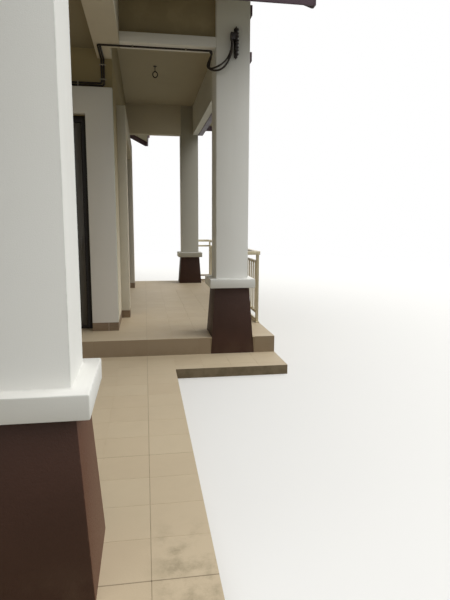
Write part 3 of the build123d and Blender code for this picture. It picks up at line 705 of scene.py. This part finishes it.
# %% Rounded copies
body_of_node = {name: body for body, members in frame["record"]["behaviour"]["bodies"].items()
                for name in members}
rounding = {"shaft": 0.007, "base": 0.006, "surround": 0.006, "beam": 0.005, "fascia": 0.003,
            "bargeboard": 0.003, "gable_frame": 0.004, "strip": 0.004, "frame": 0.0025,
            "railing": 0.003, "bracket": 0.002, "box": 0.002}
for name in nodes:
    width = next((rounding[ending] for ending in rounding if name.endswith(ending)), None)
    if width:
        piece = copied(name)
        if name == "veranda_railing":
            slimmed(piece)
        dress(rounded(piece, width), finish_of[name], body_of_node[name])
        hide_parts(name)

# %% [markdown]
# ## Laid tiles
# A tiler sets out a grid and cuts the tiles at the walls. The same is done here: one tile is modelled with a
# tiny bevel, an array lays it out from a known joint line, and bisecting trims the field to its edges. A
# field is made flat and then turned into place, so the same function lays floors, risers and skirting.

# %% New pieces
def made(name):
    """Names the shape that was just added, and fixes its place and size in its mesh."""
    piece = bpy.context.object
    piece.name = name
    bpy.ops.object.transform_apply(location=True, rotation=True, scale=True)
    return piece


def slab(name, centre, size):
    bpy.ops.mesh.primitive_cube_add(size=1, location=centre, scale=size)
    return made(name)


def turned_into_place(piece, corner, along, up):
    """Lays a piece made in the xy plane onto the face that starts at a corner."""
    only(piece)
    out = along.cross(up)
    piece.matrix_world = Matrix((along, up, out)).transposed().to_4x4()
    piece.location = corner
    bpy.ops.object.transform_apply(location=True, rotation=True, scale=True)


def trimmed(piece, cuts, fill=True):
    """Cuts a piece by planes, each a point and the direction that is cut away."""
    into_edit(piece)
    for point, away_from in cuts:
        bpy.ops.mesh.select_all(action="SELECT")
        bpy.ops.mesh.bisect(plane_co=point, plane_no=away_from, clear_outer=True, use_fill=fill)
    out_of_edit()


def repeated(piece, *rows):
    """Lays a piece out in rows, each a count and a step."""
    for count, step in rows:
        modified(piece, "ARRAY", count=count, use_relative_offset=False, use_constant_offset=True,
                 constant_offset_displace=step)


def turned_outward(piece):
    """Makes every face of a piece look outwards."""
    into_edit(piece)
    bpy.ops.mesh.normals_make_consistent(inside=False)
    out_of_edit()


# %% A field of tiles on any flat face
tile_joint = 0.0018
tile_thick = 0.0014
tile_bevel = 0.0005


def tile_field(name, finish, corner, along, up, length, width, module, first, cuts=()):
    """Tiles on one face; first is how far before the corner the joint lines start."""
    size = Vector((module[0] - tile_joint, module[1] - tile_joint, tile_thick))
    field = slab(name, size / 2, size)
    picked(field, lambda face: face.normal.z > 0.5)
    bpy.ops.mesh.bevel(offset=tile_bevel, segments=1, affect="EDGES")
    bpy.ops.mesh.select_all(action="SELECT")
    bpy.ops.transform.translate(value=(-first[0], -first[1], 0))
    out_of_edit()
    repeated(field, (int((length + first[0]) / module[0]) + 1, (module[0], 0, 0)),
             (int((width + first[1]) / module[1]) + 1, (0, module[1], 0)))
    edges = [((length, 0, 0), right), ((0, width, 0), back)]
    edges += [((0, 0, 0), -axis) for axis, before in zip((right, back), first) if before > 0]
    trimmed(field, edges)
    turned_into_place(field, corner, along, up)
    trimmed(field, cuts)
    return dress(field, finish)


# %% Lines of the house that the tiles follow
slab_low, slab_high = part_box("porch_slab")
base_low, base_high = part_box("veranda_column_front_base")
wall_low, wall_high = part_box("front_wall_left")
side_low, side_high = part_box("side_wall")
door_low, door_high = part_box("door_surround")
glazing_low, glazing_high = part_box("veranda_surround")
doorway_low, doorway_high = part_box("door_frame")
slab_right = 2.837
strip_front = -2.912
behind_base = -2.085
veranda_tiles_end = 3.665
rear_wall_depth = 0.15
step_front = floor_low.y
landing_front = step_front - tile_thick


def to_joint(value, line):
    """How far a value lies past the joint line before it."""
    return (value - line) % tile_module


# %% Floors
floor_areas = {
    "porch_tiles": (slab_low.x, slab_right, slab_low.y, step_front, porch_top),
    "strip_tiles": (slab_right, slab_high.x, strip_front, step_front, porch_top),
    "landing_tiles": (floor_low.x, side_high.x, landing_front, door_high.y, floor_top),
    "doorway_tiles": (doorway_low.x, doorway_high.x, door_high.y, doorway_low.y, floor_top),
    "veranda_tiles_left": (side_high.x, base_low.x, landing_front, veranda_tiles_end, floor_top),
    "veranda_tiles_middle": (base_low.x, base_high.x, behind_base, veranda_tiles_end, floor_top),
    "veranda_tiles_right": (base_high.x, floor_high.x, landing_front, veranda_tiles_end, floor_top),
    "room_tiles": (wall_low.x, side_low.x, wall_high.y, side_high.y - rear_wall_depth, floor_top),
}
for name, (x0, x1, y0, y1, z) in floor_areas.items():
    tile_field(name, floor_tile, (x0, y0, z), right, back, x1 - x0, y1 - y0, (tile_module, tile_module),
               (to_joint(x0, tile_line_x), to_joint(y0, tile_line_y)))
print(len(floor_areas), "floor areas tiled")

# %% [markdown]
# ## Riser and skirting
# The step up to the house has one row of upright tiles, which stop at the slanted sides of the column's base.
# Where the raised floor meets a wall, a row of brown tiles 103 mm high keeps the mop off the paint.

# %% Riser
riser_low = porch_top + tile_thick
riser_height = floor_top - riser_low
past_base = 0.05
base_slant = 0.07
for side, x0, x1, base_x, sign in (("left", floor_low.x, base_low.x + past_base, base_low.x, 1),
                                   ("right", base_high.x - past_base, floor_high.x, base_high.x, -1)):
    tile_field("riser_tiles_" + side, riser_tile, (x0, step_front, riser_low), right, higher, x1 - x0,
               riser_height, (tile_module, riser_height + tile_joint), (to_joint(x0, tile_line_x), 0),
               [((base_x, 0, porch_top), Vector((sign, 0, base_slant)).normalized())])

# %% Skirting
skirting_high = 0.103
skirting_before = 0.1
pier = 0.304
proud = glazing_high.x - side_high.x
door_proud = door_high.y - door_low.y
skirting_runs = {
    "beside_door": ((doorway_high.x, door_low.y), right, side_high.x - doorway_high.x),
    "door_end": ((door_high.x, door_low.y), back, door_proud),
    "side_wall": ((side_high.x, door_high.y), back, glazing_low.y - door_high.y),
    "glazing_end": ((side_high.x, glazing_low.y), right, proud),
    "glazing_front": ((glazing_high.x, glazing_low.y), back, pier),
    "glazing_reveal": ((glazing_high.x, glazing_low.y + pier), -right, proud),
    "glazing_inner": ((side_high.x, glazing_high.y - pier), right, proud),
    "glazing_rear": ((glazing_high.x, glazing_high.y - pier), back, pier),
    "glazing_back": ((glazing_high.x, glazing_high.y), -right, proud),
    "side_rear": ((side_high.x, glazing_high.y), back, veranda_tiles_end - glazing_high.y),
    "door_left": ((door_low.x, door_low.y), right, doorway_low.x - door_low.x),
    "door_return": ((door_low.x, door_high.y), -back, door_proud),
    "front_wall": ((wall_low.x, door_high.y), right, door_low.x - wall_low.x),
}
for name, ((x, y), along, length) in skirting_runs.items():
    tile_field("skirting_" + name, skirting_tile, (x, y, floor_top + tile_thick), along, higher, length,
               skirting_high, (tile_module, skirting_high + tile_joint), (skirting_before, 0))
print(len(skirting_runs), "runs of skirting")

# %% [markdown]
# ## Roof tiles
# The tiles have two soft rolls each, and every row lies on the heads of the row below. One tile is enough: a
# flat grid whose columns are lifted into the rolls, thickened, and tipped by its own thickness. Arrays lay it
# over a slope, and cuts along the valleys, verges and ridges shape the eight fields.

# %% One roof tile and a slope of them
tile_cover = 0.30
tile_exposure = 0.355
tile_length = 0.42
tile_body = 0.012
lap_gap = 0.002
roll_height = 0.024
roll_sharpness = 1.4
columns_per_tile = 14


def roof_tile_piece(name, cover):
    bpy.ops.mesh.primitive_grid_add(x_subdivisions=columns_per_tile, y_subdivisions=1, size=1,
                                    location=(cover / 2, tile_length / 2, 0))
    bpy.context.object.scale = (cover, tile_length, 1)
    tile = made(name)
    for column in range(columns_per_tile + 1):
        across = column / columns_per_tile * cover
        roll = 0.5 - 0.5 * cos(4 * pi * column / columns_per_tile)
        shaped(tile, lambda vertex: abs(vertex.co.x - across) < 0.001, bpy.ops.transform.translate,
               value=(0, 0, roll_height * roll ** roll_sharpness))
    modified(tile, "SOLIDIFY", thickness=tile_body, offset=1)
    shaped(tile, lambda vertex: vertex.co.y < 0.001, bpy.ops.transform.translate,
           value=(0, 0, tile_body + lap_gap))
    return tile


def tiled_slope(name, corner, along, up, width, length, overhang, cuts):
    """One field; it starts at the lower left corner of a slope, seen from outside."""
    tiles_across = round(width / tile_cover)
    cover = width / tiles_across
    field = roof_tile_piece(name, cover)
    repeated(field, (tiles_across, (cover, 0, 0)),
             (int((length + overhang) / tile_exposure) + 1, (0, tile_exposure, 0)))
    turned_into_place(field, Vector(corner) - up * overhang, along, up)
    trimmed(field, cuts)
    turned_outward(field)
    smooth(45)
    return dress(field, roof_tile)


# %% Eight fields
roof_pitch = radians(27)
steep, flat = sin(roof_pitch), cos(roof_pitch)
ridge_top = 5.741
front_eave, side_eave = -2.837, 2.687
front_tip, rear_tip, gable_tip = frame_size[0][1], frame_size[1][1], frame_size[1][0]
eave_overhang = 0.03
ridge_gap = 0.07
valley_gap = 0.05
valley_shift = valley_gap / 2 * 2 ** 0.5
verge = 0.004
slope_run = ridge_y - front_eave
slope_length = slope_run / flat
eave_z = ridge_top - slope_run * tan(roof_pitch)

for face, sign, tip, start_x in (("front", -1, front_tip, party_line), ("rear", 1, rear_tip, gable_tip)):
    at_ridge = ((0, ridge_y + sign * ridge_gap, 0), (0, -sign, 0))
    at_tip = ((0, tip - sign * verge, 0), (0, sign, 0))
    # the valley on the right runs from the crossing towards the side eave, the one on the left is its mirror
    for hand, side, end, start_y in (("right", 1, gable_tip, front_tip), ("left", -1, party_line, rear_tip)):
        tiled_slope("main_tiles_" + face + "_" + hand, (start_x, ridge_y + sign * slope_run, eave_z),
                    Vector((-sign, 0, 0)), Vector((0, -sign * flat, steep)), gable_tip - party_line,
                    slope_length, eave_overhang,
                    [at_ridge, ((ridge_x + side * valley_shift, ridge_y, 0), (-side, sign, 0)),
                     ((end - side * verge, 0, 0), (side, 0, 0))])
        tiled_slope("cross_tiles_" + face + "_" + hand,
                    (ridge_x + side * (side_eave - ridge_x), start_y, eave_z), Vector((0, side, 0)),
                    Vector((-side * flat, 0, steep)), rear_tip - front_tip, slope_length,
                    side * eave_overhang,
                    [((ridge_x + side * ridge_gap, 0, 0), (-side, 0, 0)),
                     ((ridge_x - side * valley_shift, ridge_y, 0), (side, -sign, 0)), at_tip])
print("roof tiles laid")

# %% [markdown]
# ## Ridges, roof shells and soffit
# Ridge tiles are half-round and taper, so that the wide end of each sits over the narrow end of the last.
# They lie in a bed of reddish mortar, which also closes the ends. The frame's roof shells have a solid
# ridge, so a copy of each is cut off below it. Their undersides are lined with cream boards, as at the
# house's own eaves, so the faces that look down get a second finish.

# %% Roof shells without their solid ridge, lined below
solid_ridge_half = 0.115
shell_cut = ridge_top - solid_ridge_half * tan(roof_pitch) - 0.001
for name in ("main_roof", "porch_roof", "rear_roof"):
    shell = copied(name)
    trimmed(shell, [((0, 0, shell_cut), higher)])
    dress(shell, roof_bed)
    shell.data.materials.append(soffit_board.material)
    for face in shell.data.polygons:
        face.material_index = 1 if face.normal.z < -0.3 else 0
    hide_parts(name)

# %% Ridge tiles
ridge_wide = 0.112
ridge_narrow = 0.099
ridge_body = 0.011
ridge_foot = -0.012
ridge_exposure = 0.38
ridge_crest = frame_size[1][2] - 0.002
ridge_centre = ridge_crest - ridge_wide
crossing = ridge_wide - 0.01


def ridge_row(name, start, along, up, count, cut):
    bpy.ops.mesh.primitive_cone_add(vertices=28, radius1=ridge_wide, radius2=ridge_narrow, depth=tile_length,
                                    end_fill_type="NOTHING", location=(0, tile_length / 2, 0),
                                    rotation=(-pi / 2, 0, 0))
    row = made(name)
    trimmed(row, [((0, 0, ridge_foot), -higher)], fill=False)
    modified(row, "SOLIDIFY", thickness=ridge_body, offset=-1)
    repeated(row, (count, (0, ridge_exposure, 0)))
    turned_into_place(row, start, along, up)
    trimmed(row, [cut])
    turned_outward(row)
    smooth(40)
    return dress(row, roof_tile)


ridge_row("ridge_tiles_main", (gable_tip - verge, ridge_y, ridge_centre), back, -right, 23,
          ((party_line + verge, 0, 0), -right))
ridge_row("ridge_tiles_front", (ridge_x, front_tip + verge, ridge_centre), right, back, 20,
          ((0, ridge_y - crossing, 0), back))
ridge_row("ridge_tiles_rear", (ridge_x, rear_tip - verge, ridge_centre), -right, -back, 17,
          ((0, ridge_y + crossing, 0), -back))

# %% Mortar under the ridge tiles
bed_half = 0.082
bed_setback = verge + 0.006
bed_overlap = 0.05
bed_low, bed_high = shell_cut - 0.02, ridge_crest - 0.045
beds = {
    "main": (party_line + verge, gable_tip - bed_setback, ridge_y - bed_half, ridge_y + bed_half),
    "front": (ridge_x - bed_half, ridge_x + bed_half, front_tip + bed_setback, ridge_y - bed_overlap),
    "rear": (ridge_x - bed_half, ridge_x + bed_half, ridge_y + bed_overlap, rear_tip - bed_setback),
}
for name, (x0, x1, y0, y1) in beds.items():
    low, high = Vector((x0, y0, bed_low)), Vector((x1, y1, bed_high))
    dress(rounded(slab("ridge_bed_" + name, (low + high) / 2, high - low), 0.012), ridge_mortar)

# %% [markdown]
# ## Cables
# Two black supply cables drop from the bracket on the front column, swing round its edge in one loose loop,
# and are then clipped side by side under the beam, down the wall and along the surround. The loop is the
# only free stretch: about 0.7 m of stiff rubber cable, held at both ends. Its line is a smooth curve whose
# control points are the frame's own route. Under the beam the clips press the cables flat. The clips are
# pale plastic saddles with two nails each.

# %% The loose loop
cable_thick = 0.020
loops = {
    "drip_cable_front": ((3.514, -2.3315, 3.560), (3.514, -2.3315, 3.470), (3.495, -2.3295, 3.384),
                         (3.455, -2.3315, 3.304), (3.397, -2.3265, 3.250), (3.326, -2.3015, 3.239),
                         (3.271, -2.2605, 3.268), (3.255, -2.2065, 3.317), (3.284, -2.164, 3.383),
                         (3.310, -2.164, 3.442)),
    "drip_cable_rear": ((3.514, -2.3055, 3.560), (3.514, -2.3055, 3.485), (3.490, -2.3045, 3.414),
                        (3.455, -2.3245, 3.354), (3.405, -2.3365, 3.304), (3.343, -2.3125, 3.275),
                        (3.296, -2.2575, 3.273), (3.279, -2.1875, 3.301), (3.293, -2.138, 3.363),
                        (3.310, -2.138, 3.442)),
}
for name, route in loops.items():
    curve = bpy.data.curves.new(name + "_loop", "CURVE")
    curve.dimensions = "3D"
    spline = curve.splines.new("NURBS")
    spline.points.add(len(route) - 1)
    for point, place in zip(spline.points, route):
        point.co = (*place, 1)
    spline.order_u = 3
    spline.use_endpoint_u = True
    curve.resolution_u = 8
    curve.bevel_depth = cable_thick / 2
    curve.bevel_resolution = 4
    loop = bpy.data.objects.new(name + "_loop", curve)
    bpy.context.scene.collection.objects.link(loop)
    dress(loop, rubber)
    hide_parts(name)

# %% The run under the beam, which is pressed flat against it
beam_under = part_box("veranda_front_beam")[0].z
beam_run_from = 2.12
pressed = 0.55
for name in ("conduit", "conduit_rear"):
    run = copied(name)
    shaped(run, lambda vertex: vertex.co.z > beam_under - cable_thick - 0.0005
           and vertex.co.x > beam_run_from, bpy.ops.transform.resize,
           value=(1, 1, pressed), center_override=(0, 0, beam_under))
    smooth(50)
    dress(run, rubber)
    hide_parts(name)

# %% Saddles over the clipped pair
strap_width, strap_depth, strap_height = 0.050, 0.016, 0.023
low_strap_height = 0.013
ear_width, ear_thick = 0.076, 0.003
nail_out, nail_radius, nail_height = 0.0315, 0.0035, 0.003
cable_x, cable_y = 2.100, -2.151
above_surround = 0.053


def peg(name, centre, radius, height, sides, edge=(0.001, 1), rotation=(0, 0, 0)):
    """A round or six-sided peg; edge is how its edges are rounded."""
    bpy.ops.mesh.primitive_cylinder_add(vertices=sides, radius=radius, depth=height, location=centre,
                                        rotation=rotation)
    return rounded(made(name), *edge)


def joined(pieces):
    only(pieces[0])
    for piece in pieces:
        piece.select_set(True)
    bpy.ops.object.join()
    return bpy.context.object


def saddle(name, corner, along, up, height=strap_height):
    """A strap over both cables, with an ear and a nail on each side; it is made flat and then turned."""
    strap = rounded(slab(name, (0, 0, height / 2), (strap_width, strap_depth, height)), 0.007, 3)
    ears = rounded(slab(name + "_ears", (0, 0, ear_thick / 2), (ear_width, strap_depth, ear_thick)), 0.001, 1)
    nails = [peg(name + "_nail", (side * nail_out, 0, ear_thick + 0.0005), nail_radius, nail_height, 12)
             for side in (-1, 1)]
    clip = joined([strap, ears] + nails)
    turned_into_place(clip, corner, along, up)
    return dress(clip, pale_clip)


wall_face = wall_low.y
for number, x in enumerate((2.456, 3.028)):
    saddle("beam_clip_%d" % number, (x, cable_y, beam_under), back, right, low_strap_height)
for number, z in enumerate((3.423, 3.262)):
    saddle("wall_clip_%d" % number, (cable_x, wall_face, z), right, higher)
for number, x in enumerate((1.815, 1.30)):
    saddle("surround_clip_%d" % number, (x, wall_face, door_high.z + above_surround), higher, -right)

# %% [markdown]
# ## Small fittings
# The bracket holds four black spools, one for each supply wire. A hook for a fan or a swing hangs from the
# veranda ceiling. Steel plates with four bolts hold the railing's posts to the floor.

# %% Spools and bolts on the bracket
plate_x, plate_front = 3.562, -2.2795
spool_y = plate_front - 0.040
first_spool, spool_step = 3.435, 0.07
spool_discs = ((-0.020, 0.027, 0.012), (0, 0.017, 0.030), (0.020, 0.027, 0.012))
rod_middle, rod_length = 3.540, 0.31
arm_size = (0.036, 0.05, 0.006)

for number in range(4):
    z = first_spool + spool_step * number
    discs = [peg("spool_%d" % number, (plate_x, spool_y, z + shift), radius, thick, 20, (0.002, 2))
             for shift, radius, thick in spool_discs]
    dress(joined(discs), rubber)
dress(peg("spool_rod", (plate_x, spool_y, rod_middle), 0.006, rod_length, 12, (0.002, 1)), dark_steel)
for number, z in enumerate((3.405, 3.675)):
    arm = rounded(slab("spool_arm_%d" % number, (plate_x, plate_front - 0.024, z), arm_size), 0.0015, 1)
    bolt = peg("arm_bolt", (plate_x, plate_front - 0.004, z - 0.022 + 0.044 * number), 0.008, 0.008, 6,
               rotation=(pi / 2, 0, 0))
    dress(joined([arm, bolt]), dark_steel)

# %% Hook in the veranda ceiling
hook_x, hook_y = 2.76, 0.56
ceiling_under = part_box("veranda_ceiling")[0].z


def below_hook(drop):
    return hook_x, hook_y, ceiling_under - drop


rose = peg("ceiling_hook", below_hook(0.004), 0.028, 0.008, 24, (0.002, 2))
stem = peg("hook_stem", below_hook(0.045), 0.006, 0.082, 12)
bpy.ops.mesh.primitive_torus_add(major_radius=0.037, minor_radius=0.008, major_segments=36, minor_segments=10,
                                 location=below_hook(0.128), rotation=(pi / 2, 0, 0))
bpy.context.object.scale = (1, 1.22, 1)
ring = made("hook_ring")
smooth(60)
dress(joined([rose, stem, ring]), dark_steel)

# %% Plates under the railing posts
foot_size = (0.050, 0.11, 0.010)
foot_z, bolt_z = floor_top + 0.008, floor_top + 0.017
for number, y in enumerate(post_rows):
    plate = rounded(slab("post_plate_%d" % number, (post_x, y, foot_z), foot_size), 0.002, 1)
    bolts = [peg("plate_bolt", (post_x + dx, y + dy, bolt_z), 0.006, 0.007, 6)
             for dx in (-0.014, 0.014) for dy in (-0.043, 0.043)]
    dress(joined([plate] + bolts), railing_paint)

# %% [markdown]
# ## Bands round the windows
# The windows have flat plaster bands that stand out from the wall, as the doorway has. Each starts as one
# sheet the size of the band; an inset marks the opening, which is deleted, and the ring is pulled out.

# %% Window bands
band_width = 0.12
band_proud = 0.04
band_rounding = 0.005
front_window, side_window, rear_window = (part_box(side + "_window_frame") for side in ("front", "side", "rear"))
rear_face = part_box("rear_wall")[1].y


def window_band(name, window, start, along):
    """A band round one window; it starts at the opening's lower left corner, seen from outside."""
    low, high = window
    width, height = abs((high - low).dot(along)), high.z - low.z
    bpy.ops.mesh.primitive_plane_add(size=1, location=(width / 2, height / 2, 0))
    bpy.context.object.scale = (width + 2 * band_width, height + 2 * band_width, 1)
    band = made(name)
    into_edit(band)
    bpy.ops.mesh.inset(thickness=band_width)
    bpy.ops.mesh.delete(type="FACE")
    bpy.ops.mesh.select_all(action="SELECT")
    bpy.ops.mesh.extrude_region_move(TRANSFORM_OT_translate={"value": (0, 0, band_proud)})
    out_of_edit()
    turned_outward(band)
    turned_into_place(band, (*start, low.z), along, higher)
    return dress(rounded(band, band_rounding), white_plaster)


window_band("front_window_band", front_window, (front_window[0].x, wall_face), right)
window_band("side_window_band", side_window, (side_high.x, side_window[0].y), back)
window_band("rear_window_band", rear_window, (rear_window[1].x, rear_face), -right)
